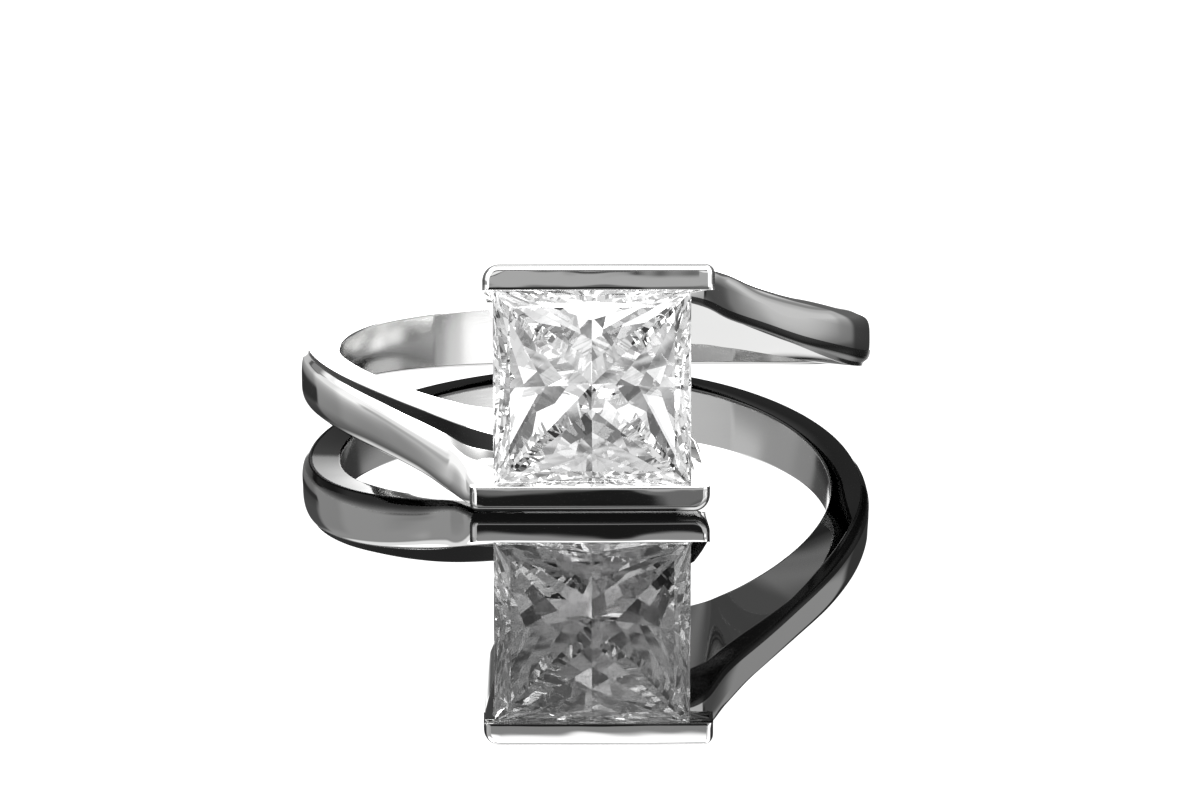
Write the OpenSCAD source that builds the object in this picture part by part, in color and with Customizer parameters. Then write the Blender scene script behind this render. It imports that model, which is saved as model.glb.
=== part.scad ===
// Princess cut ring: a square stone held between two straight bars, each bar
// the end of one arm of a band that winds past the stone.
// The ring lies on its side, on its lower bar and the back of the band.
// Units are millimetres and +Z is up.

/* [Band] */
// inner diameter of the finger hole
finger_d = 17; // [16:0.1:19]
// width of the band at the back of the ring
back_w = 2.4; // [2.3:0.05:2.5]
// chamfer along the outer edges of the band
edge_c = 0.3; // [0.2:0.05:0.4]

/* [Setting] */
// how far the front of the bars stands from the finger axis
bar_front = 12.7; // [12.6:0.05:12.85]
// height of the opening between the two bars
bar_opening = 6.46; // [6.3:0.02:6.48]
// thickness of each bar
bar_t = 0.88; // [0.7:0.05:1.1]
// depth of each bar, front to back
bar_depth = 1.25; // [1:0.05:1.5]
// half length of a bar on the side where its arm joins it
bar_arm_end = 4.03; // [3.8:0.05:4.2]
// half length of the upper bar on its free side
upper_free_end = 3.6; // [3.5:0.05:4]
// half length of the lower bar on its free side
lower_free_end = 3.87; // [3.5:0.05:4]

/* [Stone] */
// length and width of the square stone
stone_w = 6.5; // [6.4:0.05:6.6]
// width of the table as a share of the stone
table_ratio = 0.83; // [0.7:0.01:0.86]
// height of the crown above the girdle
crown_h = 0.5; // [0.4:0.05:0.6]
// thickness of the girdle
girdle_h = 0.1; // [0.06:0.02:0.14]
// distance from the finger axis to the top of the girdle
girdle_r = 12.5; // [12.45:0.01:12.55]
// gap between the stone and the metal
seat_gap = 0.03; // [0.02:0.01:0.05]

/* [Hidden] */

finger_r = finger_d / 2;
back_r = 9.65;
head_z = 0.04;
bar_inner = bar_opening / 2;
bar_outer = bar_inner + bar_t;
bar_round = 0.22;
bar_slope = 0.19;
free_round = 0.55;
held_round = 0.32;
head_x = 0.1;
bore_run = 20;

// Stations of one arm, from the back of the ring to its bar.
// drop is the distance from the middle plane towards the side of the bar.
// Columns: angle and drop of the two inner edges, then angle, radius and drop
// of the step, of the crease below it, of the two edges of the outer face and
// of the under edge.
IN_A = 0; IN_NEAR = 1; IN_FAR = 2;
ST_A = 3; ST_R = 4; ST_D = 5;
CR_A = 6; CR_R = 7; CR_D = 8;
OUT_A = 9; UP_R = 10; UP_D = 11;
LOW_R = 12; LOW_D = 13; UND_R = 14; UND_D = 15;
half_w = back_w / 2;
arm = [
  [0, 0.1 - half_w, half_w - 0.1, 0, back_r - edge_c - 0.06, -half_w, 0, back_r - edge_c, -half_w,
    0, back_r, edge_c - half_w, back_r, half_w - edge_c, back_r - edge_c, half_w],
  [25, -1.02, 1.08, 25, 9.36, -1.10, 25, 9.40, -1.08, 25, 9.69, -0.80, 9.69, 0.84, 9.40, 1.15],
  [50, -0.83, 1.08, 50, 9.43, -0.92, 50, 9.45, -0.86, 50, 9.75, -0.58, 9.75, 0.86, 9.46, 1.15],
  [70, -0.58, 1.14, 70, 9.51, -0.69, 70, 9.52, -0.60, 70, 9.81, -0.34, 9.81, 0.95, 9.53, 1.24],
  [90, -0.28, 1.34, 90, 9.57, -0.40, 90, 9.58, -0.29, 90, 9.87, -0.06, 9.87, 1.16, 9.59, 1.44],
  [108, -0.06, 1.70, 108, 9.67, -0.13, 108, 9.68, 0.01, 108, 9.97, 0.20, 9.94, 1.52, 9.64, 1.80],
  [122, 0.22, 2.05, 122, 9.81, 0.20, 122, 9.82, 0.40, 122, 10.14, 0.55, 10.05, 1.93, 9.68, 2.17],
  [134, 0.52, 2.33, 135, 10.00, 0.58, 135, 10.01, 0.86, 136, 10.42, 1.06, 10.27, 2.42, 9.84, 2.64],
  [143, 0.76, 2.56, 146, 10.35, 0.95, 146, 10.36, 1.34, 148, 10.88, 1.70, 10.80, 3.00, 10.30, 3.15],
  [148, 0.88, 2.70, 152, 10.62, 1.19, 153, 10.64, 1.72, 155.8, 11.42, 2.15, 11.48, 3.52, 11.08, 3.64],
  [152, 0.98, 2.83, 157, 10.84, 1.41, 158, 10.86, 2.08, 161.6, 12.32, 2.64, 12.47, 3.85, 12.05, 3.90],
  [157, 1.04, 2.98, 162, 10.98, 1.63, 162.5, 11.00, 2.22, 165.6, 12.45, 2.88, 12.52, 3.87, 12.10, 3.91],
  [164, 1.14, 3.18, 168, 11.03, 1.86, 168, 11.05, 2.35, 170, 12.25, 3.00, 12.25, 3.85, 11.85, 3.89],
];
arm_steps = 4;
inner_r = finger_r - 0.4;
flank_in = 0.06;

// Smooth value of one column between two stations.
function spline(p0, p1, p2, p3, t) =
  p1 + t / 2 * (p2 - p0 + t * (2 * p0 - 5 * p1 + 4 * p2 - p3 + t * (3 * (p1 - p2) + p3 - p0)));
function station(i) =
  i < 0 ? mirror_row(arm[-i]) : i < len(arm) ? arm[i] : 2 * arm[len(arm) - 1] - arm[len(arm) - 2];
// The row behind the back of the ring is the same section seen from the other arm.
function mirror_row(r) = [
  -r[IN_A], -r[IN_FAR], -r[IN_NEAR], -r[OUT_A], r[UND_R] - flank_in, -r[UND_D],
  -r[OUT_A], r[UND_R], -r[UND_D], -r[OUT_A], r[LOW_R], -r[LOW_D],
  r[UP_R], -r[UP_D], r[CR_R], -r[CR_D]];
function arm_row(u) = let (i = min(floor(u), len(arm) - 2), t = u - i)
  spline(station(i - 1), station(i), station(i + 1), station(i + 2), t);

// Point on the lower, left-hand arm.
function arm_point(angle, radius, drop) = [-radius * sin(angle), radius * cos(angle), -drop];
function arm_section(r) = [
  arm_point(r[IN_A], inner_r, r[IN_NEAR]),
  arm_point(r[ST_A], r[ST_R], r[ST_D]),
  arm_point(r[CR_A], r[CR_R], r[CR_D]),
  arm_point(r[OUT_A], r[UP_R], r[UP_D]),
  arm_point(r[OUT_A], r[LOW_R], r[LOW_D]),
  arm_point(r[OUT_A], r[UND_R], r[UND_D]),
  arm_point(r[OUT_A], r[UND_R] - flank_in, r[UND_D]),
  arm_point(r[IN_A], inner_r, r[IN_FAR])];
// Half turn about the axis through the stone.
function half_turn(p) = [-p[0], p[1], -p[2]];
function reversed(v) = [for (i = [len(v) - 1:-1:0]) v[i]];

// Rounds the corner p between a and b with a curve of so many pieces.
function corner(a, p, b, reach, pieces) = let (
  q0 = p + (a - p) * min(0.48, reach / norm(a - p)),
  q1 = p + (b - p) * min(0.48, reach / norm(b - p)))
  [for (k = [0:pieces]) let (t = k / pieces) (1 - t) * (1 - t) * q0 + 2 * t * (1 - t) * p + t * t * q1];
// The outer face starts flat at the back and grows barrel shaped along the arm.
function soft(angle) = 0.16 + 0.74 * min(1, max(0, (angle - 20) / 90));
function rounded(s, barrel) = let (
  reach = [0.05, 0.04, barrel, 0.14 + barrel / 3, 0.04, 0.05],
  pieces = [2, 2, 4, 4, 2, 2])
  concat(
    [s[0]],
    [for (i = [1:6]) each corner(s[i - 1], s[i], s[i + 1], reach[i - 1], pieces[i - 1])],
    [s[7]]);
function arm_sections() = [
  for (k = [0:arm_steps * (len(arm) - 1)]) let (r = arm_row(k / arm_steps))
    rounded(arm_section(r), soft(r[OUT_A]))];

// Closed skin over a row of sections that have equal numbers of points.
module skin(sections) {
  n = len(sections[0]);
  m = len(sections);
  polyhedron(
    points = [for (s = sections) each s],
    faces = concat(
      [[for (i = [n - 1:-1:0]) i]],
      [for (k = [0:m - 2], i = [0:n - 1]) let (a = k * n + i, b = k * n + (i + 1) % n)
        each [[a, b, a + n], [b, b + n, a + n]]],
      [[for (i = [0:n - 1]) (m - 1) * n + i]]),
    convexity = 6);
}

// The band: both arms and the back of the ring in one sweep.
module band() {
  left = arm_sections();
  right = [for (s = left) reversed([for (p = s) half_turn(p)])];
  skin(concat(reversed(left), [for (i = [1:len(right) - 1]) right[i]]));
}

// Side view of one bar with its wall, as depth from the finger axis and drop.
// The wall's inner side follows the pavilion and its outer side thins towards the hole.
module bar_profile() {
  r = bar_round;
  polygon([
    [bar_front, bar_inner],
    for (t = [0:22.5:90]) [bar_front - r + r * cos(t), bar_outer - r + r * sin(t)],
    [bar_front - bar_depth, bar_outer - bar_slope],
    [finger_r + 1.6, 3.3],
    [finger_r - 0.4, 2.6],
    [finger_r - 0.4, -0.4],
    [finger_r + 0.45, -0.4],
    [girdle_r - girdle_h - 0.1, bar_inner]]);
}

// Front view of the same wall, which narrows from the bar to the finger hole.
module wall_outline(free_end) {
  f = free_round;
  h = held_round;
  polygon(concat(
    [[-bar_arm_end, bar_inner], [-3.1, bar_inner - 0.2], [-3, 1.3], [-2.35, 0.6], [-2, 0], [-1.8, -0.4]],
    [[1.8, -0.4], [2, 0], [2.35, 0.6], [2.8, 1.3], [free_end - 0.46, 1.9], [free_end - 0.22, 2.5]],
    [[free_end - 0.06, 3], [free_end, bar_inner]],
    [for (t = [0:15:90]) [free_end - f + f * cos(t), bar_outer - f + f * sin(t)]],
    [for (t = [90:22.5:180]) [-bar_arm_end + h + h * cos(t), bar_outer - h + h * sin(t)]]));
}

// Lower bar with its wall.
module bar_and_wall(free_end) {
  intersection() {
    rotate([0, 0, 180]) rotate([90, 0, 90])
      linear_extrude(2 * bar_arm_end + 1, center = true)
        mirror([0, 1]) bar_profile();
    rotate([90, 0, 0])
      linear_extrude(2 * bar_front + 2, center = true)
        mirror([0, 1]) wall_outline(free_end);
  }
}

// Square brilliant with a flat table: a is the half width and grow widens it all round.
PAV_M = 0; PAV_D = 1;
// Columns: distance from the culet along the middle of a side, and depth below
// the girdle, both as shares of the half width.
pavilion = [[1, 0], [0.86, 0.24], [0.68, 0.48], [0.47, 0.71], [0.24, 0.92], [0, 1.09]];
// Each side of the crown is broken by a point this share of the way out and this much proud.
crown_out = 0.35;
crown_proud = 0.05;
function ring4(p) = [for (q = [0:3]) [p[0] * cos(90 * q) - p[1] * sin(90 * q), p[0] * sin(90 * q) + p[1] * cos(90 * q), p[2]]];
module square_brilliant(grow = 0) {
  a = stone_w / 2 + grow;
  t = table_ratio * stone_w / 2 + grow * 0.4;
  top = crown_h + grow;
  rows = len(pavilion) - 2;
  points = concat(
    ring4([t, t, top]),
    ring4([a, a, 0]),
    ring4([a, a, -girdle_h]),
    [for (k = [1:rows]) each ring4([pavilion[k][PAV_M] * a, 0, -girdle_h - pavilion[k][PAV_D] * a])],
    ring4([t + crown_out * (a - t), 0, top * (1 - crown_out) + crown_proud]),
    [[0, 0, -girdle_h - pavilion[rows + 1][PAV_D] * a]]);
  brow = 12 + 4 * rows;
  culet = brow + 4;
  polyhedron(
    points = points,
    faces = concat(
      [[3, 2, 1, 0]],
      [for (q = [0:3]) let (n = (q + 1) % 4, side = [q, n, 4 + n, 4 + q])
        each [for (k = [0:3]) [side[k], side[(k + 1) % 4], brow + n]]],
      [for (q = [0:3]) [4 + q, 4 + (q + 1) % 4, 8 + (q + 1) % 4, 8 + q]],
      [for (q = [0:3]) let (c = 8 + q, d = 8 + (q + 1) % 4, m = 12 + (q + 1) % 4) [c, d, m]],
      [for (q = [0:3], k = [0:rows - 2]) let (c = 8 + q, d = 8 + (q + 1) % 4, m = 12 + 4 * k + (q + 1) % 4)
        each [[c, m, m + 4], [m, d, m + 4]]],
      [for (q = [0:3]) let (c = 8 + q, d = 8 + (q + 1) % 4, m = 8 + 4 * rows + (q + 1) % 4)
        each [[c, m, culet], [m, d, culet]]]));
}
module stone_place() translate([head_x, -girdle_r, head_z]) rotate([90, 0, 0]) children();

module ring_metal() color([0.86, 0.87, 0.88]) lying() {
  difference() {
    union() {
      band();
      translate([head_x, 0, head_z]) bar_and_wall(lower_free_end);
      translate([head_x, 0, head_z]) rotate([0, 180, 0]) bar_and_wall(upper_free_end);
    }
    cylinder(d = finger_d, h = bore_run, center = true, $fn = 120);
    stone_place() square_brilliant(seat_gap);
  }
}

module princess_stone() color([0.93, 0.95, 0.97]) lying()
  stone_place() square_brilliant();

// The ring leans back until the lower bar and the back of the band both touch the floor.
touch_bar = [bar_front - bar_round, bar_outer - bar_round - head_z];
touch_back = [back_r - edge_c - flank_in / 2, half_w];
run = touch_bar[0] + touch_back[0];
rise = touch_bar[1] - touch_back[1];
tilt = atan2(rise, run) + asin(bar_round / norm([run, rise]));
lift = touch_back[1] * cos(tilt) + touch_back[0] * sin(tilt);
shift_y = 1.79;
module lying() translate([0, shift_y, lift]) rotate([-tilt, 0, 0]) children();

ring_metal();
princess_stone();
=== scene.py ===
"""Princess cut ring: a bypass band whose two ends hold a square stone between straight bars.

The ring lies on its side on a glossy pale base. Sizes are in millimetres in the
ring's own frame, where the finger axis is Z and the stone faces -Y, and each mesh
is laid down and turned into metres when it is finished.
"""

from __future__ import annotations

import logging
import math
from dataclasses import astuple, dataclass, field, replace
from enum import Enum
from typing import Callable, Sequence

import bmesh
import bpy
import numpy as np
from mathutils import Matrix, Vector

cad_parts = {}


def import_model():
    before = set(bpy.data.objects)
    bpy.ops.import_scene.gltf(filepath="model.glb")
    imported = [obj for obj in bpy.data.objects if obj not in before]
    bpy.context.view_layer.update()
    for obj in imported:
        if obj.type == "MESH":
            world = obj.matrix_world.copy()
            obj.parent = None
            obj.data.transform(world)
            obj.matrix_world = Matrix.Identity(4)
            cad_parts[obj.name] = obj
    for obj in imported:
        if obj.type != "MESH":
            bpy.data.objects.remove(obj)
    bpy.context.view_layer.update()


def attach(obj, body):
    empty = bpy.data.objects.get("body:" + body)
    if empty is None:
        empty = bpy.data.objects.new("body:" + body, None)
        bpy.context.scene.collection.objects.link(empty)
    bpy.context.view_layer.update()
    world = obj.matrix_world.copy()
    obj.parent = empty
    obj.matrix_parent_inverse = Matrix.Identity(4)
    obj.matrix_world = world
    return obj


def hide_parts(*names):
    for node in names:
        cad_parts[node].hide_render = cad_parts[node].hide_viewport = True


LOG = logging.getLogger("princess_cut_ring")
MM = 0.001
SIDE_SHARE = 0.48

Solid = bpy.types.Object
Point = np.ndarray
Pair = tuple[float, float]
Triple = tuple[float, float, float]
Colour = tuple[float, float, float, float]
Faces = list[list[int]]
Outline = Sequence[Pair]
Placing = Callable[[float, float, float], Triple]


class Maths(Enum):
    """Operations of the Math node."""

    ADD = "ADD"
    SUBTRACT = "SUBTRACT"
    MULTIPLY = "MULTIPLY"
    MAXIMUM = "MAXIMUM"
    MINIMUM = "MINIMUM"
    ARCSINE = "ARCSINE"
    ARCTAN2 = "ARCTAN2"


class Combining(Enum):
    """Ways in which two solids are combined."""

    JOIN = "UNION"
    CUT = "DIFFERENCE"
    OVERLAP = "INTERSECT"


class Mark(Enum):
    """Marks on faces that a finish treats apart."""

    PAINTED_STEP_SHADE = "recess"
    INSIDE = "inside"
    PAINTED_EDGE_LINE = "line"
    GIRDLE = "girdle"


# Shader building


class Field:
    """A shader socket that takes part in Python expressions."""

    def __init__(self, graph: "Graph", socket: bpy.types.NodeSocket | None) -> None:
        """Keeps the graph that new nodes go to and the socket that holds the value."""
        self.graph = graph
        self.socket = socket

    def __add__(self, other: "Field | float") -> "Field":
        """Sum."""
        return self.graph.maths(Maths.ADD, self, other)

    def __radd__(self, other: float) -> "Field":
        """Sum with a number on the left."""
        return self.graph.maths(Maths.ADD, other, self)

    def __sub__(self, other: "Field | float") -> "Field":
        """Difference."""
        return self.graph.maths(Maths.SUBTRACT, self, other)

    def __rsub__(self, other: float) -> "Field":
        """Difference from a number."""
        return self.graph.maths(Maths.SUBTRACT, other, self)

    def __mul__(self, other: "Field | float") -> "Field":
        """Product."""
        return self.graph.maths(Maths.MULTIPLY, self, other)

    def __rmul__(self, other: float) -> "Field":
        """Product with a number on the left."""
        return self.graph.maths(Maths.MULTIPLY, other, self)

    def maximum(self, other: "Field | float") -> "Field":
        """The larger of two values."""
        return self.graph.maths(Maths.MAXIMUM, self, other)

    def minimum(self, other: "Field | float") -> "Field":
        """The smaller of two values."""
        return self.graph.maths(Maths.MINIMUM, self, other)

    def rise(self, low: float, high: float) -> "Field":
        """Soft step from 0 to 1 between two values."""
        values = {"Value": self, "From Min": low, "From Max": high}
        return self.graph.node("ShaderNodeMapRange", {"interpolation_type": "SMOOTHSTEP"}, values)

    def band(self, low: float, high: float, soft: float) -> "Field":
        """Mask that is 1 between two values and falls off softly outside them."""
        return self.rise(low - soft, low + soft) * (1.0 - self.rise(high - soft, high + soft))


class Graph:
    """A node tree that is filled by expressions."""

    def __init__(self, tree: bpy.types.NodeTree) -> None:
        """Empties the tree and keeps it."""
        self.tree = tree
        tree.nodes.clear()

    def node(
        self,
        kind: str,
        settings: dict[str, object] | None = None,
        inputs: dict[str | int, object] | None = None,
        output: str | int = 0,
    ) -> Field:
        """Adds any node.

        Args:
            kind: Blender's name of the node type.
            settings: properties, which are set before the sockets.
            inputs: socket name or number to a value or a Field.
            output: name or number of the socket that is returned.

        Returns:
            The chosen output socket.
        """
        made = self.tree.nodes.new(kind)
        for name, value in (settings or {}).items():
            setattr(made, name, value)
        for name, value in (inputs or {}).items():
            if isinstance(value, Field):
                self.tree.links.new(value.socket, made.inputs[name])
            else:
                made.inputs[name].default_value = value
        return Field(self, made.outputs[output] if len(made.outputs) else None)

    def maths(self, operation: Maths, first: Field | float, second: Field | float = 0.0) -> Field:
        """Works out one or two values with a Math node."""
        return self.node("ShaderNodeMath", {"operation": operation.value}, {0: first, 1: second})

    def mix_colour(self, mask: Field, first: object, second: object) -> Field:
        """Blends two colours, where the mask is 0 for the first and 1 for the second."""
        inputs = {0: mask, 6: first, 7: second}
        return self.node("ShaderNodeMix", {"data_type": "RGBA"}, inputs, 2)

    def place(self, socket: str) -> Field:
        """One output of the texture coordinates."""
        return self.node("ShaderNodeTexCoord", output=socket)

    def path(self, socket: str) -> Field:
        """One output of the light path."""
        return self.node("ShaderNodeLightPath", output=socket)

    def mirrored(self, count: int) -> Field:
        """Mask of the rays that were mirrored so many times."""
        return self.path("Glossy Depth").band(count - 0.5, count + 0.5, 0.1)

    def mark(self, mark: Mark) -> Field:
        """A mark on the faces, as a value."""
        return self.node("ShaderNodeAttribute", {"attribute_name": mark.value}, output="Fac")

    def split(self, vector: Field) -> list[Field]:
        """The three parts of a vector."""
        parts = self.node("ShaderNodeSeparateXYZ", inputs={0: vector}).socket.node.outputs
        return [Field(self, part) for part in parts]

    def stretched(self, vector: Field, scale: Triple) -> Field:
        """Coordinates scaled per axis."""
        inputs = {"Vector": vector, "Scale": scale}
        return self.node("ShaderNodeMapping", inputs=inputs, output="Vector")

    def vector_sum(self, first: Field, scale: float, second: Field) -> Field:
        """A scaled vector plus another."""
        inputs = {0: first, 1: (scale,) * 3, 2: second}
        return self.node("ShaderNodeVectorMath", {"operation": "MULTIPLY_ADD"}, inputs, "Vector")

    def noise(self, vector: Field, scale: float, detail: float) -> Field:
        """Noise between 0 and 1."""
        inputs = {"Vector": vector, "Scale": scale, "Detail": detail}
        return self.node("ShaderNodeTexNoise", inputs=inputs)


# Finishes


@dataclass(frozen=True)
class Finish:
    """A finish, which makes a material of its own."""

    name: str

    def shader(self, graph: Graph) -> Field:
        """The surface's shader, which each finish builds in its own way."""
        raise NotImplementedError

    def material(self) -> bpy.types.Material:
        """Makes the material.

        Returns:
            The material.
        """
        made = bpy.data.materials.new(self.name)
        made.use_nodes = True
        graph = Graph(made.node_tree)
        graph.node("ShaderNodeOutputMaterial", inputs={"Surface": self.shader(graph)})
        return made


@dataclass(frozen=True)
class PolishedGold(Finish):
    """Mirror polish on white gold, with painted shade in the steps, painted dark reflection lines and
    painted shade at the bars' bottom rim, faint buffing and hairline scratches.

    Places are in metres in the part's frame. The bars are the metal that is further than
    bars_from in front of the finger axis, by the sine and cosine of the lean.
    """

    name: str = "polished_white_gold"
    light: Colour = (0.93, 0.93, 0.925, 1.0)
    deep: Colour = (0.88, 0.88, 0.875, 1.0)
    # Colour of the painted shade in the steps.
    dark: Colour = (0.035, 0.035, 0.035, 1.0)
    # Colour of the dark matt paint for the painted dark reflection lines and the painted shade at the
    # bars' bottom rim.
    rim: Colour = (0.03, 0.03, 0.03, 1.0)
    gloss: float = 0.018
    haze: float = 0.02
    dark_haze: float = 0.2
    inner_haze: float = 0.12
    inner_from: Pair = (-0.002, 0.006)
    scratch: float = 0.03
    scratch_from: Pair = (0.62, 0.72)
    scratch_depth: float = 0.002
    wave: float = 0.00002
    wave_least: float = 0.15
    cloud_scale: float = 420.0
    hair_scale: Triple = (900.0, 900.0, 16000.0)
    wave_scale: Triple = (420.0, 420.0, 900.0)
    lean: Pair = (0.131, 0.991)
    bars_from: Pair = (0.0101, 0.0106)
    # Height and reach of the painted shade at the bars' bottom rim.
    rim_top: Pair = (0.00016, 0.00024)
    rim_end: Pair = (0.0028, 0.0034)

    def shader(self, graph: Graph) -> Field:
        """Makes the metal.

        Args:
            graph: the material's graph.

        Returns:
            The shader, which is matt and dark along the fine lines: painted dark reflection lines on the
            marked faces and painted shade along the bars' bottom rim.
        """
        where = graph.place("Object")
        across, depth, height = graph.split(where)
        cloud = graph.noise(where, self.cloud_scale, detail=3.0)
        hairs = graph.noise(graph.stretched(where, self.hair_scale), 1.0, detail=1.0)
        bars = (height * self.lean[0] - depth * self.lean[1]).rise(*self.bars_from)
        polished = graph.mix_colour(cloud, self.deep, self.light)
        shader = graph.node(
            "ShaderNodeBsdfPrincipled",
            inputs={
                # The step faces get the painted shade colour.
                "Base Color": graph.mix_colour(graph.mark(Mark.PAINTED_STEP_SHADE), polished, self.dark),
                "Metallic": 1.0,
                "Roughness": self._roughness(graph, depth, cloud, hairs),
                "Normal": self._bump(graph, where, bars, hairs),
            },
        )
        # Dark matt shader that paints the dark reflection lines and the shade at the bars' bottom rim.
        edge = graph.node(
            "ShaderNodeBsdfPrincipled",
            inputs={"Base Color": self.rim, "Roughness": 1.0, "Specular IOR Level": 0.0},
        )
        # Painted shade along the bars' bottom rim, where they meet the base.
        painted_contact_shade = (1.0 - height.rise(*self.rim_top)) * (1.0 - across.rise(*self.rim_end))
        outline = graph.mark(Mark.PAINTED_EDGE_LINE).maximum(painted_contact_shade * bars)
        return graph.node("ShaderNodeMixShader", inputs={0: outline, 1: shader, 2: edge})

    def _roughness(self, graph: Graph, depth: Field, cloud: Field, hairs: Field) -> Field:
        """Works out how matt the metal is.

        Args:
            graph: the material's graph.
            depth: place from the front to the back of the ring.
            cloud: broad noise of the polish.
            hairs: fine noise of the scratches.

        Returns:
            The roughness, which grows in the steps and towards the back of the finger hole.
        """
        lines = hairs.rise(*self.scratch_from) * self.scratch
        worn = graph.mark(Mark.INSIDE) * depth.rise(*self.inner_from) * self.inner_haze
        return self.gloss + cloud * self.haze + lines + graph.mark(Mark.PAINTED_STEP_SHADE) * self.dark_haze + worn

    def _bump(self, graph: Graph, where: Field, bars: Field, hairs: Field) -> Field:
        """Makes the waviness of the polish, which is strongest on the bars.

        Args:
            graph: the material's graph.
            where: place on the piece.
            bars: mask of the bars.
            hairs: fine noise of the scratches.

        Returns:
            The bumped normal.
        """
        wave = graph.noise(graph.stretched(where, self.wave_scale), 1.0, detail=1.0)
        share = bars * (1.0 - self.wave_least) + self.wave_least
        height = wave * share + hairs * self.scratch_depth
        inputs = {"Strength": 1.0, "Distance": self.wave, "Height": height}
        return graph.node("ShaderNodeBump", inputs=inputs, output="Normal")


@dataclass(frozen=True)
class ClearStone(Finish):
    """Clear stone with polished facets, a slightly matt girdle and a painted glow of sparkle from deep
    inside.
    """

    name: str = "clear_stone"
    ior: float = 2.417
    body: Colour = (0.995, 0.997, 1.0, 1.0)
    girdle_matt: float = 0.22
    # Colours of the painted glow: none, dim, bright and flashes.
    unlit: Colour = (0.0, 0.0, 0.0, 1.0)
    dim: Colour = (0.02, 0.02, 0.02, 1.0)
    bright: Colour = (0.46, 0.46, 0.46, 1.0)
    flash: Colour = (2.0, 2.0, 2.0, 1.0)
    bright_from: Pair = (0.12, 0.7)
    flash_from: Pair = (0.9, 0.92)
    deep_from: Pair = (3.4, 3.6)
    glow_cell_scale: float = 1800.0

    def shader(self, graph: Graph) -> Field:
        """Makes the stone.

        Args:
            graph: the material's graph.

        Returns:
            The shader.
        """
        return graph.node(
            "ShaderNodeBsdfPrincipled",
            inputs={
                "Base Color": self.body,
                "Roughness": graph.mark(Mark.GIRDLE) * self.girdle_matt,
                "IOR": self.ior,
                "Transmission Weight": 1.0,
                "Emission Color": self._painted_sparkle(graph),
                "Emission Strength": 1.0,
            },
        )

    def _painted_sparkle(self, graph: Graph) -> Field:
        """Paints a glow in place of the light that is left after many turns inside the stone.

        Args:
            graph: the material's graph.

        Returns:
            The painted glow's colour, which changes from facet to facet and from place to place.
        """
        way = graph.node("ShaderNodeNewGeometry", output="Normal")
        place = graph.vector_sum(graph.place("Object"), self.glow_cell_scale, graph.vector_sum(way, 1.0, way))
        inputs = {"Vector": place, "Scale": 1.0}
        cell = graph.node("ShaderNodeTexVoronoi", inputs=inputs, output="Color")
        share = graph.node("ShaderNodeSeparateColor", inputs={0: cell})
        sparkle = graph.mix_colour(share.rise(*self.bright_from), self.dim, self.bright)
        sparkle = graph.mix_colour(share.rise(*self.flash_from), sparkle, self.flash)
        deep = graph.path("Glossy Depth").rise(*self.deep_from)
        return graph.mix_colour(deep, self.unlit, sparkle)


@dataclass(frozen=True)
class GlossyBase(Finish):
    """Glossy base: a mirror at low angles, and pale when it is looked down on, with a painted patchy glow
    that only the stone's inside sees.
    """

    name: str = "glossy_base"
    ior: float = 1.5
    body: Colour = (0.9, 0.9, 0.9, 1.0)
    gloss_body: Colour = (0.0, 0.0, 0.0, 1.0)
    pale_share: float = 0.92
    smudge_scale: float = 60.0
    smudge_haze: float = 0.01
    # Size and strength of the painted patchy glow that the stone's inside sees.
    patch_scale: float = 700.0
    patch_from: Pair = (0.37, 0.58)
    patch_least: float = 0.06
    seen_from: Pair = (0.29, 0.44)
    first_from: Pair = (0.45, 0.6)
    second_from: Pair = (0.84, 0.9)
    second_share: float = 0.22

    def shader(self, graph: Graph) -> Field:
        """Makes the base.

        Args:
            graph: the material's graph.

        Returns:
            The shader.
        """
        smudge = graph.noise(graph.place("Object"), self.smudge_scale, detail=2.0)
        gloss = graph.node(
            "ShaderNodeBsdfPrincipled",
            inputs={
                "Base Color": self.gloss_body,
                "Roughness": smudge * self.smudge_haze,
                "IOR": self.ior,
            },
        )
        pale = graph.node("ShaderNodeEmission", inputs={"Color": self.body, "Strength": 1.0})
        inputs = {0: self._paleness(graph), 1: gloss, 2: pale}
        return graph.node("ShaderNodeMixShader", inputs=inputs)

    def _paleness(self, graph: Graph) -> Field:
        """Works out how pale the base is.

        Args:
            graph: the material's graph.

        Returns:
            0 for the mirror and 1 for the pale body, for the eye and for what the metal mirrors,
            and patches of painted glow for the stone's inside.
        """
        steep = 1.0 - graph.node("ShaderNodeLayerWeight", inputs={"Blend": 0.5}, output="Facing")
        patches = graph.noise(graph.place("Object"), self.patch_scale, detail=1.0)
        first = graph.mirrored(1) * steep.rise(*self.first_from)
        second = graph.mirrored(2) * steep.rise(*self.second_from) * self.second_share
        seen = steep.rise(*self.seen_from) * graph.path("Is Camera Ray")
        # Painted patches of glow, which the stone's facets pick up.
        inner = patches.rise(*self.patch_from) + self.patch_least
        stone = graph.path("Is Transmission Ray") * inner
        return (seen.maximum(stone) * self.pale_share).maximum(first + second)


# Shapes


@dataclass
class Lying:
    """How the ring lies: its lean, and where its centre comes to in the part's frame."""

    lean_deg: float = 7.50485
    centre_y: float = 1.79
    centre_z: float = 2.40701

    def matrix(self) -> Matrix:
        """Transform from the ring's own frame in millimetres to the part's in metres."""
        lean = Matrix.Rotation(-math.radians(self.lean_deg), 4, "X")
        place = Matrix.Translation(Vector((0.0, self.centre_y, self.centre_z)))
        return Matrix.Scale(MM, 4) @ place @ lean


def limited(value: float) -> float:
    """The value, kept between 0 and 1."""
    return min(1.0, max(0.0, value))


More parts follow.
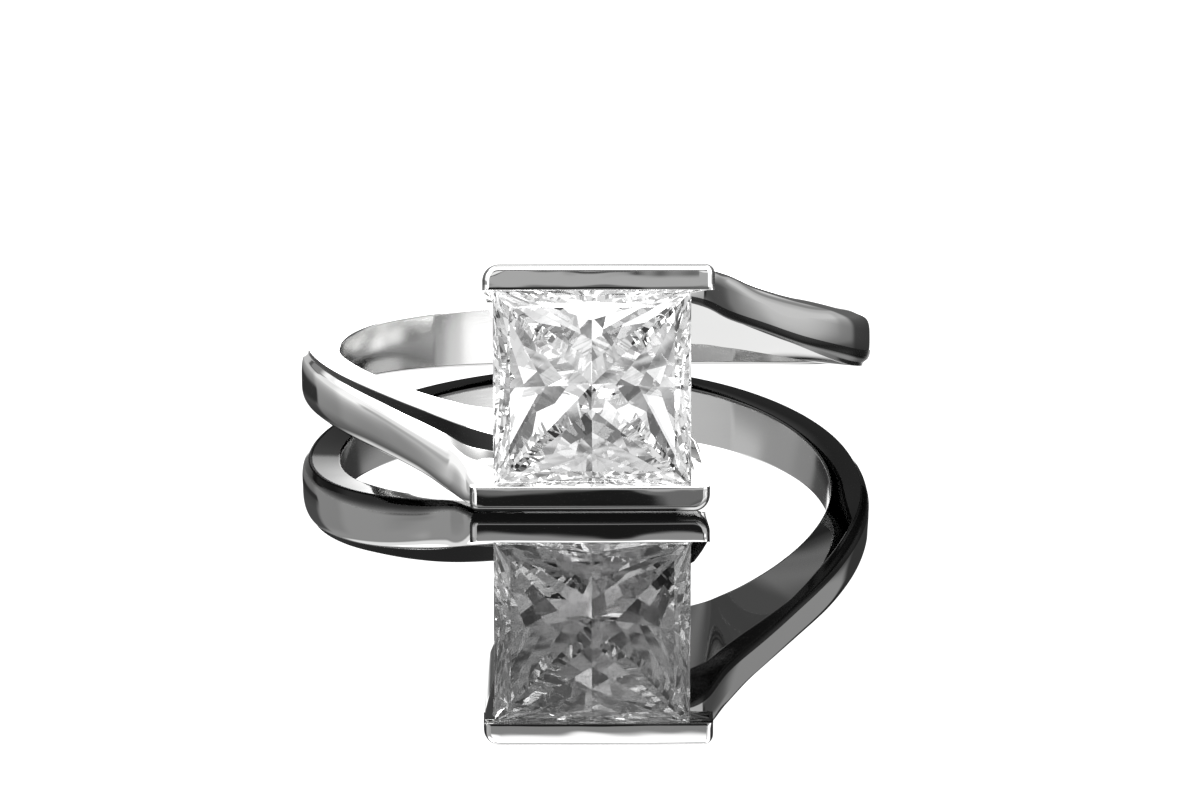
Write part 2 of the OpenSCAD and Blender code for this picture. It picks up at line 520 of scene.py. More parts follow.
def rounded(a: Point, p: Point, b: Point, reach: float, steps: int) -> list[Point]:
    """Rounds a corner.

    Args:
        a: point before the corner.
        p: the corner.
        b: point after the corner.
        reach: how far the rounding goes along each side, at most SIDE_SHARE of it.
        steps: number of pieces of the rounding.

    Returns:
        The points that replace the corner.
    """
    q0 = p + (a - p) * min(SIDE_SHARE, reach / float(np.linalg.norm(a - p)))
    q1 = p + (b - p) * min(SIDE_SHARE, reach / float(np.linalg.norm(b - p)))
    shares = [k / steps for k in range(steps + 1)]
    return [(1 - t) ** 2 * q0 + 2 * t * (1 - t) * p + t * t * q1 for t in shares]


def grid_faces(rows: int, cols: int, first: int) -> Faces:
    """Faces of a grid, row by row, from the number of its first point."""
    corners = [first + i * (cols + 1) + j for i in range(rows) for j in range(cols)]
    return [[k, k + 1, k + cols + 2, k + cols + 1] for k in corners]


def ring_faces(one: Sequence[int], two: Sequence[int]) -> Faces:
    """Faces between two closed rings of the same number of points."""
    size = len(one)
    return [[one[k], one[(k + 1) % size], two[(k + 1) % size], two[k]] for k in range(size)]


def mesh_object(name: str, points: Sequence[Sequence[float]], faces: Faces) -> Solid:
    """Makes a mesh object.

    Args:
        name: object name.
        points: vertices.
        faces: vertex numbers of each face.

    Returns:
        The object, linked to the scene.
    """
    mesh = bpy.data.meshes.new(name)
    mesh.from_pydata([tuple(map(float, p)) for p in points], [], [tuple(f) for f in faces])
    mesh.validate()
    made = bpy.data.objects.new(name, mesh)
    bpy.context.scene.collection.objects.link(made)
    return made


def mark_faces(made: Solid, mark: Mark, values: dict[int, float]) -> None:
    """Puts a mark on faces.

    Args:
        made: the object.
        mark: which mark.
        values: strength of the mark by face number. All other faces have none.
    """
    data = made.data.attributes.new(mark.value, "FLOAT", "FACE").data
    for face, value in values.items():
        data[face].value = value


def turned_out(made: Solid) -> Solid:
    """Turns every face of a closed solid outwards.

    Args:
        made: the solid.

    Returns:
        The same object.
    """
    work = bmesh.new()
    work.from_mesh(made.data)
    bmesh.ops.recalc_face_normals(work, faces=work.faces)
    work.to_mesh(made.data)
    work.free()
    return made


def prism(name: str, ring: Outline, low: float, high: float, place: Placing) -> Solid:
    """Closed prism over an outline.

    Args:
        name: object name.
        ring: the outline.
        low: where the prism starts.
        high: where it ends.
        place: turns the outline's two values and the depth into a point.

    Returns:
        The prism.
    """
    n = len(ring)
    points = [place(a, b, low) for a, b in ring] + [place(a, b, high) for a, b in ring]
    faces = [list(range(n))[::-1], list(range(n, 2 * n))]
    faces += ring_faces(range(n), range(n, 2 * n))
    return turned_out(mesh_object(name, points, faces))


def apply_modifiers(made: Solid) -> None:
    """Turns an object's modifiers into its mesh.

    Args:
        made: the object.
    """
    graph = bpy.context.evaluated_depsgraph_get()
    baked = bpy.data.meshes.new_from_object(made.evaluated_get(graph))
    made.modifiers.clear()
    made.data = baked


def combine(made: Solid, tool: Solid, how: Combining) -> None:
    """Joins or cuts an object with another, which is used up.

    Args:
        made: the object that stays.
        tool: the object that it is combined with.
        how: what is done.
    """
    change = made.modifiers.new("combine", "BOOLEAN")
    change.operation = how.value
    change.solver = "EXACT"
    change.object = tool
    apply_modifiers(made)
    bpy.data.objects.remove(tool)


def soften(made: Solid, width: float, segments: int, angle_deg: float) -> None:
    """Rounds the sharp edges of an object.

    Args:
        made: the object.
        width: width of the rounding.
        segments: pieces of the rounding.
        angle_deg: edges sharper than this are rounded.
    """
    change = made.modifiers.new("soften", "BEVEL")
    change.width = width
    change.segments = segments
    change.limit_method = "ANGLE"
    change.angle_limit = math.radians(angle_deg)
    change.use_clamp_overlap = True
    apply_modifiers(made)


@dataclass(frozen=True)
class Station:
    """One section of an arm.

    _a is an angle from the back of the ring in degrees, _r a distance from the finger
    axis and _d a drop towards the side of the arm's bar.
    """

    inner_a: float
    near_d: float
    far_d: float
    step_a: float
    step_r: float
    step_d: float
    crease_a: float
    crease_r: float
    crease_d: float
    outer_a: float
    upper_r: float
    upper_d: float
    lower_r: float
    lower_d: float
    under_r: float
    under_d: float


STATIONS = tuple(Station(*row) for row in (
    (0, -1.10, 1.10, 0, 9.32, -1.21, 0, 9.35, -1.20, 0, 9.65, -0.90, 9.65, 0.90, 9.35, 1.20),
    (25, -1.02, 1.08, 25, 9.38, -1.12, 25, 9.40, -1.08, 25, 9.69, -0.80, 9.69, 0.84, 9.40, 1.15),
    (50, -0.83, 1.08, 50, 9.43, -0.92, 50, 9.45, -0.86, 50, 9.75, -0.58, 9.75, 0.86, 9.46, 1.15),
    (70, -0.58, 1.14, 70, 9.51, -0.69, 70, 9.52, -0.60, 70, 9.81, -0.34, 9.81, 0.95, 9.53, 1.24),
    (90, -0.28, 1.34, 90, 9.57, -0.40, 90, 9.58, -0.29, 90, 9.87, -0.06, 9.87, 1.16, 9.59, 1.44),
    (108, -0.06, 1.70, 108, 9.67, -0.13, 108, 9.68, 0.01, 108, 9.97, 0.20, 9.94, 1.52, 9.64, 1.80),
    (122, 0.22, 2.05, 122, 9.81, 0.20, 122, 9.82, 0.40, 122, 10.14, 0.55, 10.05, 1.93, 9.68, 2.17),
    (134, 0.52, 2.33, 135, 10.00, 0.58, 135, 10.01, 0.86, 136, 10.42, 1.06, 10.27, 2.42, 9.84, 2.64),
    (143, 0.76, 2.56, 146, 10.35, 0.95, 146, 10.36, 1.34, 148, 10.88, 1.70, 10.80, 3.00, 10.30, 3.15),
    (148, 0.88, 2.70, 152, 10.62, 1.19, 153, 10.64, 1.72, 155.8, 11.42, 2.15, 11.48, 3.52, 11.08, 3.64),
    (152, 0.98, 2.83, 157, 10.84, 1.41, 158, 10.86, 2.08, 161.6, 12.32, 2.64, 12.47, 3.85, 12.05, 3.90),
    (157, 1.04, 2.98, 162, 10.98, 1.63, 162.5, 11.00, 2.22, 165.6, 12.45, 2.88, 12.52, 3.87, 12.10, 3.91),
    (164, 1.14, 3.18, 168, 11.03, 1.86, 168, 11.05, 2.35, 170, 12.25, 3.0, 12.25, 3.85, 11.85, 3.89),
))


@dataclass
class Band:
    """Both arms and the back of the ring, swept through the stations of one arm."""

    finger_r: float = 8.5
    steps: int = 14
    stations: tuple[Station, ...] = STATIONS
    flank_in: float = 0.06
    flank_drop: float = 0.01
    hollow: Pair = (110.0, 138.0)
    hollow_r: float = 10.05
    hollow_gaps: Triple = (0.1, 0.04, 0.1)
    round_least: float = 0.16
    round_more: float = 0.74
    round_from: Pair = (20.0, 110.0)
    edge_reach: tuple[float, float, float, float] = (0.10, 0.05, 0.04, 0.14)
    edge_steps: tuple[int, ...] = (4, 3, 3, 8, 8, 3, 3, 4)
    step_first: int = 6
    step_end: int = 11
    strip_end: int = 18
    strip_station: int = 4
    # Faces of each section that get a painted dark reflection line, and how dark it is.
    painted_line_faces: range = range(31, 38)
    painted_line_share: float = 0.8
    # Strength of the painted step shade on the right arm.
    right_dark: float = 0.93

    def _mirror(self, row: Point) -> Point:
        """Makes the station behind the back of the ring.

        Args:
            row: the values of the station before the back.

        Returns:
            The values of the other arm's section.
        """
        s = Station(*row)
        return np.array([
            -s.inner_a, -s.far_d, -s.near_d,
            -s.outer_a, s.under_r - self.flank_in, -s.under_d - self.flank_drop,
            -s.outer_a, s.under_r, -s.under_d,
            -s.outer_a, s.lower_r, -s.lower_d,
            s.upper_r, -s.upper_d, s.crease_r, -s.crease_d,
        ])

    def _row(self, u: float) -> Station:
        """Section at a share of the way along the stations.

        Args:
            u: number of stations passed.

        Returns:
            The smoothed station.
        """
        rows = [np.array(astuple(s), float) for s in self.stations]
        last = len(rows) - 1
        i = min(int(u), last - 1)
        t = u - i
        p0 = rows[i - 1] if i else self._mirror(rows[1])
        p1, p2 = rows[i], rows[i + 1]
        p3 = rows[i + 2] if i + 2 <= last else 2 * rows[last] - rows[last - 1]
        curve = 2 * p0 - 5 * p1 + 4 * p2 - p3 + t * (3 * (p1 - p2) + p3 - p0)
        return Station(*(p1 + t / 2 * (p2 - p0 + t * curve)))

    def _hollowed(self, s: Station) -> Station:
        """Section of the right arm, whose underside is level and then slants to the finger hole.

        Args:
            s: the section that both arms share.

        Returns:
            The section with its crease at the outer edge and its step further in.
        """
        start, end = self.hollow
        share = limited((s.outer_a - start) / (end - start))
        share = share * share * (3 - 2 * share)
        edge_r, crease_d, step_d = self.hollow_gaps
        step_r = min(s.step_r, self.hollow_r)
        return replace(
            s,
            crease_a=s.crease_a + (s.outer_a - s.crease_a) * share,
            crease_r=s.crease_r + (s.upper_r - edge_r - s.crease_r) * share,
            crease_d=s.crease_d + (s.upper_d - crease_d - s.crease_d) * share,
            step_r=s.step_r + (step_r - s.step_r) * share,
            step_d=s.step_d + (s.upper_d - step_d - s.step_d) * share,
        )

    @staticmethod
    def _point(angle: float, radius: float, drop: float) -> Point:
        """A point of the lower, left-hand arm."""
        a = math.radians(angle)
        return np.array([-radius * math.sin(a), radius * math.cos(a), -drop])

    def _section(self, s: Station) -> list[Point]:
        """Rounded outline of one section.

        Args:
            s: the station.

        Returns:
            Points from the near inner edge round to the far inner edge.
        """
        near = self._point(s.inner_a, self.finger_r, s.near_d)
        step = self._point(s.step_a, s.step_r, s.step_d)
        crease = self._point(s.crease_a, s.crease_r, s.crease_d)
        upper = self._point(s.outer_a, s.upper_r, s.upper_d)
        lower = self._point(s.outer_a, s.lower_r, s.lower_d)
        under = self._point(s.outer_a, s.under_r, s.under_d)
        far = self._point(s.inner_a, self.finger_r, s.far_d)
        flank = self._point(s.outer_a, s.under_r - self.flank_in, s.under_d + self.flank_drop)
        start, end = self.round_from
        share = limited((s.outer_a - start) / (end - start))
        soft = self.round_least + self.round_more * share
        edge, inner, fine, outer = self.edge_reach
        ring = [far, near, step, crease, upper, lower, under, flank, far, near]
        reach = [edge, inner, fine, soft, outer + soft / 3, fine, inner, edge]
        out: list[Point] = []
        for k, steps in enumerate(self.edge_steps):
            out += rounded(ring[k], ring[k + 1], ring[k + 2], reach[k], steps)
        return out

    def mesh(self) -> Solid:
        """Sweeps the band.

        Returns:
            A closed mesh.
        """
        count = self.steps * (len(self.stations) - 1)
        rows = [self._row(k / self.steps) for k in range(count + 1)]
        left = [self._section(s) for s in rows]
        turn = np.array([-1.0, 1.0, -1.0])
        right = [[p * turn for p in reversed(self._section(self._hollowed(s)))] for s in rows]
        sections = left[::-1] + right[1:]
        size = len(left[0])
        start = (len(sections) - 1) * size
        faces = [list(range(size - 1, -1, -1))]
        for k in range(0, start, size):
            one, two = range(k, k + size), range(k + size, k + 2 * size)
            faces += ring_faces(one, two)
        faces.append(list(range(start, start + size)))
        made = mesh_object("band", [p for s in sections for p in s], faces)
        self._mark(made, count, size)
        return made

    def _mark(self, made: Solid, count: int, size: int) -> None:
        """Marks the steps for painted shade, the finger hole and the fine lines of painted dark
        reflection.

        Args:
            made: the swept band.
            count: number of pieces of each arm.
            size: number of points of a section.
        """
        marks: dict[Mark, dict[int, float]] = {Mark.PAINTED_STEP_SHADE: {}, Mark.INSIDE: {}, Mark.PAINTED_EDGE_LINE: {}}
        for k in range(2 * count):
            first = 1 + k * size
            right = k >= count
            place = [first + (size - 2 - i if right else i) for i in range(size - 1)]
            marks[Mark.INSIDE][first + size - 1] = 1.0
            # Painted dark reflection line along a rounded outer edge of the arm.
            for i in self.painted_line_faces:
                marks[Mark.PAINTED_EDGE_LINE][place[i]] = self.painted_line_share
            # Painted shade on the step faces. On the right arm it is a little weaker and, from
            # strip_station on, reaches further out.
            strip = k >= count + self.strip_station * self.steps
            for i in range(self.step_first, self.strip_end if strip else self.step_end):
                marks[Mark.PAINTED_STEP_SHADE][place[i]] = self.right_dark if right else 1.0
        for mark, values in marks.items():
            mark_faces(made, mark, values)


@dataclass
class Setting:
    """The two bars that hold the stone, with the walls behind them."""

    finger_r: float = 8.5
    bore_gap: float = 0.02
    bore_sides: int = 240
    bore_reach: Pair = (-10.0, 10.0)
    bar_front: float = 12.7
    bar_inner: float = 3.23
    bar_t: float = 0.88
    bar_depth: float = 1.25
    bar_round: float = 0.24
    bar_slope: float = 0.19
    edge_round: float = 0.04
    lower_tilt: Pair = (-1.45, 1.8)
    upper_tilt: Pair = (-0.3, 4.6)
    face_sag: float = 0.035
    arm_end: float = 4.03
    lower_free_end: float = 3.87
    upper_free_end: float = 3.6
    free_round: float = 0.55
    held_round: float = 0.32
    rows: int = 14
    cols: int = 24
    rim_steps: int = 7
    rim_share: float = 0.15
    back_layers: Triple = (0.9, 0.95, 1.0)
    # Rim layers and darkness of the painted dark reflection line along each bar.
    painted_line_layers: range = range(3, 7)
    painted_line_share: float = 0.9
    wall_reach: Pair = (-5.0, 5.0)
    front_reach: Pair = (5.0, 14.0)
    wall_soft: float = 0.08
    wall_segments: int = 3
    wall_sharp_deg: float = 35.0
    head_x: float = 0.1
    head_z: float = 0.04

    @property
    def bar_outer(self) -> float:
        """Distance from the middle plane to the outer side of a bar."""
        return self.bar_inner + self.bar_t

    def _face(self, tilt: Pair, x: float, drop: float) -> float:
        """Depth of the bar's crowned face.

        Args:
            tilt: how far the face leans at the stone and at the outer side, in degrees.
            x: place along the bar.
            drop: distance from the middle plane.

        Returns:
            Distance from the finger axis.
        """
        low, high = (math.radians(t) for t in tilt)
        s = (drop - self.bar_inner) / self.bar_t
        lean = self.bar_t * (low * s + (high - low) * s * s / 2)
        return self.bar_front - lean - self.face_sag * (x / self.arm_end) ** 2

    def _bar_point(self, upper: bool, row: float, col: float, rim: float, back: float) -> Point:
        """One point of the bar's skin.

        Args:
            upper: True for the bar above the stone.
            row: share of the way from the stone's side to the outer side.
            col: share of the way from the free end to the arm's end.
            rim: share of the rim's rounding that has been passed, 0 on the face and 1 behind it.
            back: share of the way from the rim to the back.

        Returns:
            The point.
        """
        turn = math.radians(90 * (1 - rim))
        tail = max(0.0, back - self.back_layers[0])
        out = self.bar_round * (1 - math.cos(turn)) + tail
        near = self.edge_round * (1 - math.cos(turn)) + tail
        share = min(1.0, row / self.rim_share)
        reach = self.edge_round + (self.bar_round - self.edge_round) * share
        behind = reach * (1 - math.sin(turn)) + back * (self.bar_depth - self.bar_round)
        d0 = self.bar_inner + near
        d1 = self.bar_outer - out - self.bar_slope * behind / self.bar_depth
        drop = d0 + (d1 - d0) * row
        ends = []
        free_end = self.upper_free_end if upper else self.lower_free_end
        for end, rounding in ((free_end, self.free_round), (self.arm_end, self.held_round)):
            r = rounding - out
            into = limited((drop - d1 + r) / r)
            ends.append(end - out - r * (1 - math.sqrt(1 - into * into)))
        x = ends[0] - (ends[0] + ends[1]) * col
        tilt = self.upper_tilt if upper else self.lower_tilt
        return np.array([x, behind - self._face(tilt, x, drop), -drop])

    def _grid_edge(self) -> list[int]:
        """Numbers of the grid's points all round, from the free end over the outer side."""
        rows, cols = self.rows, self.cols
        loop = [i * (cols + 1) for i in range(rows)]
        loop += [rows * (cols + 1) + j for j in range(cols)]
        loop += [i * (cols + 1) + cols for i in range(rows, 0, -1)]
        return loop + list(range(cols, 0, -1))

    def _bar_body(self, upper: bool) -> Solid:
        """Builds one bar with a crowned face and a rounded rim.

        Args:
            upper: True for the bar above the stone.

        Returns:
            A closed solid.
        """
        rows, cols = self.rows, self.cols
        grid = [(1 - (1 - i / rows) ** 2, j / cols) for i in range(rows + 1) for j in range(cols + 1)]
        loop = self._grid_edge()
        layers = [(k / self.rim_steps, 0.0) for k in range(self.rim_steps + 1)]
        layers += [(1.0, back) for back in self.back_layers]
        points = [self._bar_point(upper, *cell, *layers[0]) for cell in grid]
        rings = [loop]
        for layer in layers[1:-1]:
            rings.append(list(range(len(points), len(points) + len(loop))))
            points += [self._bar_point(upper, *grid[k], *layer) for k in loop]
        start = len(points)
        rings.append([start + k for k in loop])
        points += [self._bar_point(upper, *cell, *layers[-1]) for cell in grid]
        faces = grid_faces(rows, cols, 0) + grid_faces(rows, cols, start)
        for one, two in zip(rings, rings[1:]):
            faces += ring_faces(one, two)
        made = mesh_object("bar", points, faces)
        # Painted dark reflection line on the rim's rounding.
        starts = [2 * rows * cols + m * len(loop) for m in self.painted_line_layers]
        dark = [k for first in starts for k in range(first, first + 2 * rows + cols)]
        mark_faces(made, Mark.PAINTED_EDGE_LINE, dict.fromkeys(dark, self.painted_line_share))
        return turned_out(made)

    def _wall_side(self) -> Outline:
        """Side view of the wall behind a bar, as depth from the finger axis and drop."""
        return [
            (12.3, self.bar_inner),
            (12.3, self.bar_inner + 0.4),
            (11.5, self.bar_outer - self.bar_slope - 0.08),
            (self.finger_r + 1.6, 3.3),
            (self.finger_r - 0.4, 2.6),
            (self.finger_r - 0.4, -0.4),
            (self.finger_r + 0.45, -0.4),
        ]

    def _wall_front(self, free_end: float) -> Outline:
        """Front view of the wall, as distance across the stone and drop.

        Args:
            free_end: half length of the bar on its free side.

        Returns:
            The outline, from the arm's side round to the free side.
        """
        flank = [(1.8, -0.4), (2.0, 0.0), (2.35, 0.6), (2.8, 1.3)]
        low = self.bar_inner + 0.5
        return [
            (0.1 - self.arm_end, low),
            (0.1 - self.arm_end, self.bar_inner),
            (-3.1, self.bar_inner - 0.2),
            (-3.0, 1.3),
            *[(-x, d) for x, d in reversed(flank[:3])],
            *flank,
            (free_end - 0.46, 1.9),
            (free_end - 0.22, 2.5),
            (free_end - 0.06, 3.0),
            (free_end - 0.04, self.bar_inner),
            (free_end - 0.12, low),
        ]

    def bar(self, name: str, upper: bool) -> Solid:
        """Builds one bar with its wall.

        Args:
            name: object name.
            upper: True for the bar above the stone.

        Returns:
            The bar with soft edges.
        """
        free_end = self.upper_free_end if upper else self.lower_free_end
        side, outline = self._wall_side(), self._wall_front(free_end)
        wall = prism("wall", side, *self.wall_reach, lambda y, d, x: (x, -y, -d))
        front = prism("front", outline, *self.front_reach, lambda x, d, y: (x, -y, -d))
        combine(wall, front, Combining.OVERLAP)
        soften(wall, self.wall_soft, self.wall_segments, self.wall_sharp_deg)
        made = self._bar_body(upper)
        made.name = name
        combine(made, wall, Combining.JOIN)
        combine(made, self._bore(), Combining.CUT)
        turn = Matrix.Rotation(math.pi, 4, "Y") if upper else Matrix.Identity(4)
        made.data.transform(Matrix.Translation((self.head_x, 0.0, self.head_z)) @ turn)
        return made

    def _bore(self) -> Solid:
        """Makes the finger hole as a cutter, a hair wider than the band's inside.

        Returns:
            The cutter.
        """
        r = self.finger_r + self.bore_gap
        turns = [2 * math.pi * k / self.bore_sides for k in range(self.bore_sides)]
        ring = [(r * math.cos(a) - self.head_x, r * math.sin(a)) for a in turns]
        return prism("finger_hole", ring, *self.bore_reach, lambda x, y, z: (x, y, z))


@dataclass
class PrincessStone:
    """Square stone with a flat table and chevron facets below."""

    width: float = 6.5
    table_ratio: float = 0.83
    table_grow: float = 0.4
    crown_h: float = 0.5
    girdle_h: float = 0.1
    girdle_r: float = 12.5
    head_x: float = 0.1
    head_z: float = 0.04
    crown_break: Pair = (0.35, 0.05)
    pavilion: tuple[Pair, ...] = (
        (1.0, 0.0), (0.86, 0.24), (0.68, 0.48), (0.47, 0.71), (0.24, 0.92), (0.0, 1.09),
    )

    @staticmethod
    def _ring(x: float, y: float, z: float) -> list[Triple]:
        """A point and its three quarter turns."""
        return [(x, y, z), (-y, x, z), (-x, -y, z), (y, -x, z)]

    def _points(self, grow: float) -> list[Triple]:
        """Works out the stone's corners.

        Args:
            grow: how much larger it is all round.

        Returns:
            The table, both edges of the girdle, the chevrons' middles, the crown's middles
            and the culet, four points a turn.
        """
        a = self.width / 2 + grow
        t = self.table_ratio * self.width / 2 + grow * self.table_grow
        out, lift = self.crown_break
        points = self._ring(t, t, self.crown_h + grow)
        points += self._ring(a, a, 0.0)
        points += self._ring(a, a, -self.girdle_h)
        for m, d in self.pavilion[1:-1]:
            points += self._ring(m * a, 0.0, -self.girdle_h - d * a)
        points += self._ring(t + out * (a - t), 0.0, (self.crown_h + grow) * (1 - out) + lift)
        points.append((0.0, 0.0, -self.girdle_h - self.pavilion[-1][1] * a))
        return points

    def _crown(self, brow: int) -> Faces:
        """Faces of the table and the crown.

        Args:
            brow: number of the first of the crown's middles.

        Returns:
            Vertex numbers of each face.
        """
        faces = [[0, 1, 2, 3]]
        for q in range(4):
            n = (q + 1) % 4
            face = [q, 4 + q, 4 + n, n]
            faces += [[face[k], face[(k + 1) % 4], brow + n] for k in range(4)]
        return faces

    @staticmethod
    def _chevrons(rows: int, culet: int) -> Faces:
        """Faces below the girdle.

        Args:
            rows: number of chevrons on each side.
            culet: number of the lowest point.

        Returns:
            Vertex numbers of each face.
        """
        faces = []
        for q in range(4):
            n = (q + 1) % 4
            c, d, m = 8 + q, 8 + n, 12 + n
            faces.append([c, m, d])
            for k in range(m, m + 4 * (rows - 1), 4):
                faces += [[c, k + 4, k], [k, k + 4, d]]
            last = m + 4 * (rows - 1)
            faces += [[c, culet, last], [last, culet, d]]
        return faces

    def mesh(self, name: str, grow: float = 0.0) -> Solid:
        """Builds the stone in the ring's own frame.

        Args:
            name: object name.
            grow: how much larger it is all round, for the seat.

        Returns:
            A closed mesh with flat facets.
        """
        points = self._points(grow)
        culet = len(points) - 1
        crown = self._crown(culet - 4)
        girdle = [[8 + q, 8 + (q + 1) % 4, 4 + (q + 1) % 4, 4 + q] for q in range(4)]
        below = self._chevrons(len(self.pavilion) - 2, culet)
        made = mesh_object(name, points, crown + girdle + below)
        matt = range(len(crown), len(crown) + len(girdle))
        mark_faces(made, Mark.GIRDLE, dict.fromkeys(matt, 1.0))
        seat = Matrix.Translation((self.head_x, -self.girdle_r, self.head_z))
        made.data.transform(seat @ Matrix.Rotation(math.pi / 2, 4, "X"))
        return made

    def build(self, lying: Lying, finish: ClearStone) -> Solid:
        """Lays the stone down and dresses it.

        Args:
            lying: how the ring lies.
            finish: the stone's finish.

        Returns:
            The finished piece.
        """
        made = self.mesh("princess_cut_stone")
        made.data.transform(lying.matrix())
        made.data.materials.append(finish.material())
        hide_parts("princess_stone")
        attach(made, "root")
        return made


@dataclass
class RingMetal:
    """All the metal as one body."""

    band: Band = field(default_factory=Band)
    setting: Setting = field(default_factory=Setting)
    stone: PrincessStone = field(default_factory=PrincessStone)
    seat_gap: float = 0.03
    weld: float = 0.0005
    sharp_deg: float = 32.0
    flat_weight: int = 50

    def _joined(self) -> Solid:
        """Joins the band and the bars and cuts the stone's seat.

        Returns:
            The metal as it comes from the joining.
        """
        made = self.band.mesh()
        lower = self.setting.bar("lower_bar", False)
        upper = self.setting.bar("upper_bar", True)
        combine(made, lower, Combining.JOIN)
        combine(made, upper, Combining.JOIN)
        combine(made, self.stone.mesh("seat", self.seat_gap), Combining.CUT)
        made.name = "bypass_ring_metal"
        return made

    def _clean(self, made: Solid) -> None:
        """Welds the tiny edges that the joining leaves.

        Args:
            made: the metal.
        """
        work = bmesh.new()
        work.from_mesh(made.data)
        bmesh.ops.remove_doubles(work, verts=work.verts, dist=self.weld)
        bmesh.ops.dissolve_degenerate(work, edges=work.edges, dist=self.weld)
        open_edges = sum(1 for e in work.edges if not e.is_manifold)
        LOG.info("metal: %d faces, %d open edges", len(work.faces), open_edges)
        work.to_mesh(made.data)
        work.free()

    def build(self, lying: Lying, finish: PolishedGold) -> Solid:
        """Joins the pieces, lays the ring down and dresses it.

        Args:
            lying: how the ring lies.
            finish: the metal's finish.

        Returns:
            The finished piece.
        """
        made = self._joined()
        self._clean(made)
        made.data.transform(lying.matrix())
        made.data.shade_smooth()
        made.data.set_sharp_from_angle(angle=math.radians(self.sharp_deg))
        flat = made.modifiers.new("weighted", "WEIGHTED_NORMAL")
        flat.keep_sharp = True
        flat.weight = self.flat_weight
        made.data.materials.clear()
        made.data.materials.append(finish.material())
        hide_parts("ring_metal")
        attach(made, "root")
        return made


# Studio


@dataclass(frozen=True)
class Card:
    """A light or dark card far away. Its turn, rise and soft edge are in degrees."""

    light: float
    turn: Pair
    rise: Pair
    soft: float


CARDS = tuple(Card(*row) for row in (
    # Overhead, all round
    (3, (-400, 400), (33, 100), 4),
    (12, (-400, 400), (50, 100), 5),
    (2, (-400, 400), (68, 100), 5),
    # Left
    (1.05, (-165, -35), (-90, 33), 4),
    (1.8, (-98, -38), (21, 45), 4),
    (0.8, (-105, -75), (-90, 14), 4),
    (0.85, (-150, -122), (-90, 22), 4),
    (0.55, (-168, -142), (-90, 11), 3),
    (0.25, (-167, -142), (10, 25), 3),
    (0.1, (-168, -141), (10.5, 13.8), 1),
    (0.45, (-108, -88), (-90, 3), 2.5),
    (0.3, (-89, -35), (-90, 3.6), 0.8),
    (1.6, (-38, -12), (-90, 45), 3),
    # Front right
    (0.7, (12, 70), (-90, 4), 2),
    (1.3, (42, 60), (-90, 4), 2),
    (1.8, (12, 74), (4, 28), 2),
    # Front, over and under the camera
    (5, (-13, 13), (35, 60), 2),
    (1, (-13, 13), (29.8, 35), 1),
    (0.04, (-13, 13), (21.5, 30), 0.8),
    (0.42, (-13, 13), (15.5, 21.5), 1),
    (0.9, (-13, 13), (10.5, 15.5), 1),
    (0.42, (-13, 13), (4, 10.5), 0.8),
    (0.05, (-13, 1.5), (9.7, 10.6), 0.4),
    (0.05, (1.3, 2.8), (8, 10.4), 0.8),
    (0.15, (-13, 13), (-90, 4), 0.5),
    (0.012, (-13, 2.2), (-90, 2.5), 0.5),
    # Right
    (8, (32, 74), (28, 60), 3),
    (0.46, (72, 141), (-90, 12), 3),
    (0.26, (84, 141), (11.5, 16.5), 2),
    (0.6, (100, 128), (-90, 6), 3),
    (1, (74, 141), (17, 34), 3),
    (0.13, (139, 165), (-90, 22), 3),
    # Behind
    (5, (166, 400), (-90, 18.5), 2),
    (5, (-400, -167), (-90, 18.5), 2),
    (1.2, (163, 400), (18.5, 44), 2),
    (1.2, (-400, -167), (18.5, 44), 2),
))


@dataclass(frozen=True)
class Tent:
    """Patchy light that the stone's facets pick out of the surroundings."""

    scale: float = 24.0
    patch_from: Pair = (0.39, 0.56)
    patch_light: float = 1.4
    flare_from: Pair = (0.64, 0.67)
    flare_light: float = 2.5
    patch_least: float = 0.2
    card_most: float = 1.6
    card_share: float = 0.5
    card_least: float = 0.16

    def glow(self, graph: Graph, way: Field, cards: Field) -> Field:
        """Works out the light.

        Args:
            graph: the world's graph.
            way: direction of view.
            cards: light of the cards.

        Returns:
            The brightness.
        """
        speckle = graph.noise(way, self.scale, detail=1.0)
        patches = speckle.rise(*self.patch_from) * self.patch_light
        flares = speckle.rise(*self.flare_from) * self.flare_light
        even = cards.minimum(self.card_most) * self.card_share + self.card_least
        return even * (self.patch_least + (patches + flares))


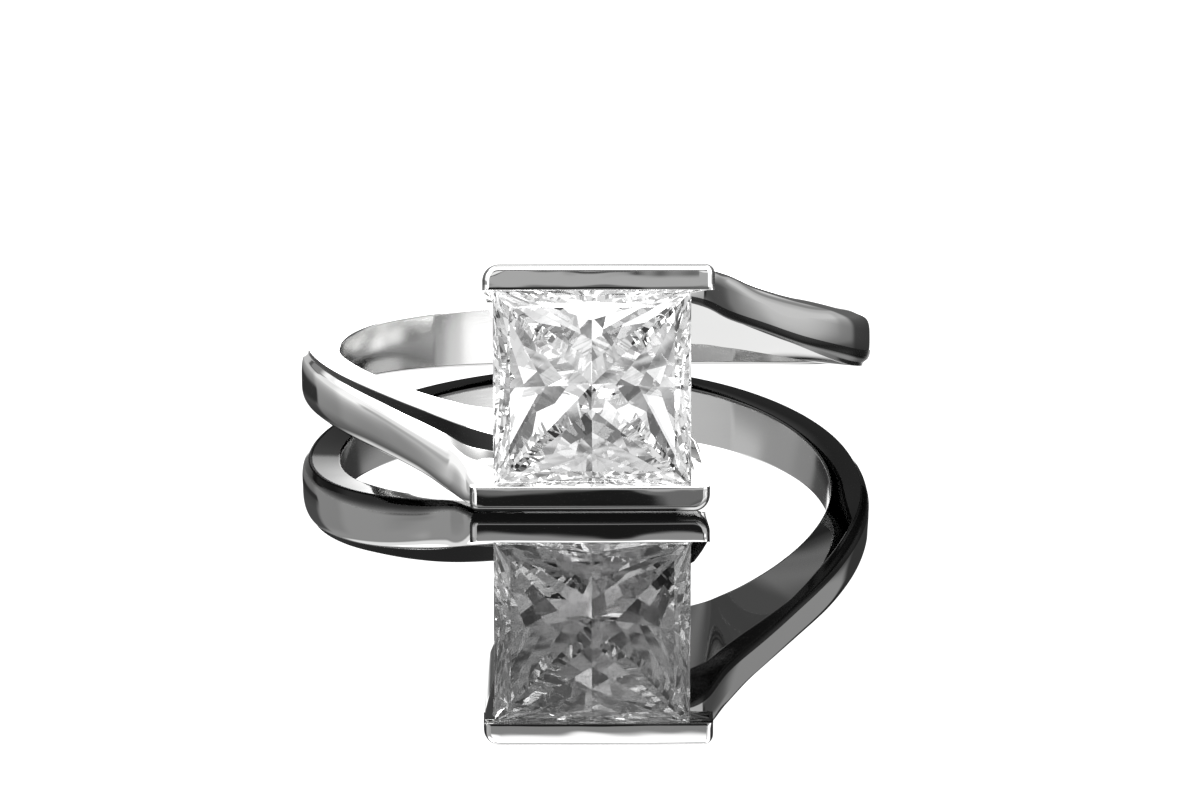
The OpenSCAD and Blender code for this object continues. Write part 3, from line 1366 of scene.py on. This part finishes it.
@dataclass
class Studio:
    """Pale glossy base, light all round and the camera of the photograph."""

    base_z: float = -0.05
    base_half: float = 900.0
    camera_at: Triple = (-2.099, -226.36, 53.715)
    view: Triple = (0.01109, 0.9741, -0.2259)
    focal_px: float = 6749.4
    photo_w: int = 1200
    sensor: float = 36.0
    clip: Pair = (0.01, 10.0)
    backdrop: float = 0.975
    between_cards: float = 0.05
    white: Colour = (1.0, 1.0, 1.0, 1.0)
    cards: tuple[Card, ...] = CARDS
    tent: Tent = Tent()

    def base(self) -> Solid:
        """Lays the glossy base.

        Returns:
            The base.
        """
        h, z = self.base_half * MM, self.base_z * MM
        points = [(-h, -h, z), (h, -h, z), (h, h, z), (-h, h, z)]
        made = mesh_object("base", points, [[0, 1, 2, 3]])
        made.data.materials.append(GlossyBase().material())
        return made

    def _glow(self, graph: Graph, way: Field) -> Field:
        """Light of the cards, each laid over the ones before it.

        Args:
            graph: the world's graph.
            way: direction of view.

        Returns:
            The brightness.
        """
        x, y, z = graph.split(way)
        degrees = 180.0 / math.pi
        rise = graph.maths(Maths.ARCSINE, z) * degrees
        turn = graph.maths(Maths.ARCTAN2, x, 0.0 - y) * degrees
        glow: Field | float = self.between_cards
        for card in self.cards:
            mask = turn.band(*card.turn, card.soft) * rise.band(*card.rise, card.soft)
            glow = glow + (card.light - glow) * mask
        return glow

    def light(self) -> None:
        """Fills the world with the studio's light."""
        world = bpy.data.worlds.new("studio")
        bpy.context.scene.world = world
        world.use_nodes = True
        graph = Graph(world.node_tree)
        way = graph.place("Generated")
        glow = self._glow(graph, way)
        tent = self.tent.glow(graph, way, glow)
        glow = glow + (tent - glow) * graph.path("Is Transmission Ray")
        glow = glow + (self.backdrop - glow) * graph.path("Is Camera Ray")
        shine = graph.node("ShaderNodeBackground", inputs={"Color": self.white, "Strength": glow})
        graph.node("ShaderNodeOutputWorld", inputs={"Surface": shine})

    def camera(self) -> None:
        """Sets up the photograph's camera."""
        lens = bpy.data.cameras.new("camera")
        lens.sensor_width = self.sensor
        lens.lens = self.focal_px * self.sensor / self.photo_w
        lens.clip_start, lens.clip_end = self.clip
        made = bpy.data.objects.new("camera", lens)
        bpy.context.scene.collection.objects.link(made)
        made.location = Vector(self.camera_at) * MM
        made.rotation_euler = Vector(self.view).to_track_quat("-Z", "Y").to_euler()
        bpy.context.scene.camera = made

    def colours(self) -> None:
        """Shows colours as they are."""
        bpy.context.scene.view_settings.view_transform = "Standard"


def main() -> None:
    """Builds the ring and its studio in order."""
    logging.basicConfig(level=logging.INFO, format="%(message)s")
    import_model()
    lying = Lying()
    pieces = [
        RingMetal().build(lying, PolishedGold()),
        PrincessStone().build(lying, ClearStone()),
    ]
    for piece in pieces:
        mesh = piece.data
        LOG.info("%s: %d vertices, %d faces", piece.name, len(mesh.vertices), len(mesh.polygons))
    studio = Studio()
    studio.base()
    studio.light()
    studio.camera()
    studio.colours()


if __name__ == "__main__":
    main()
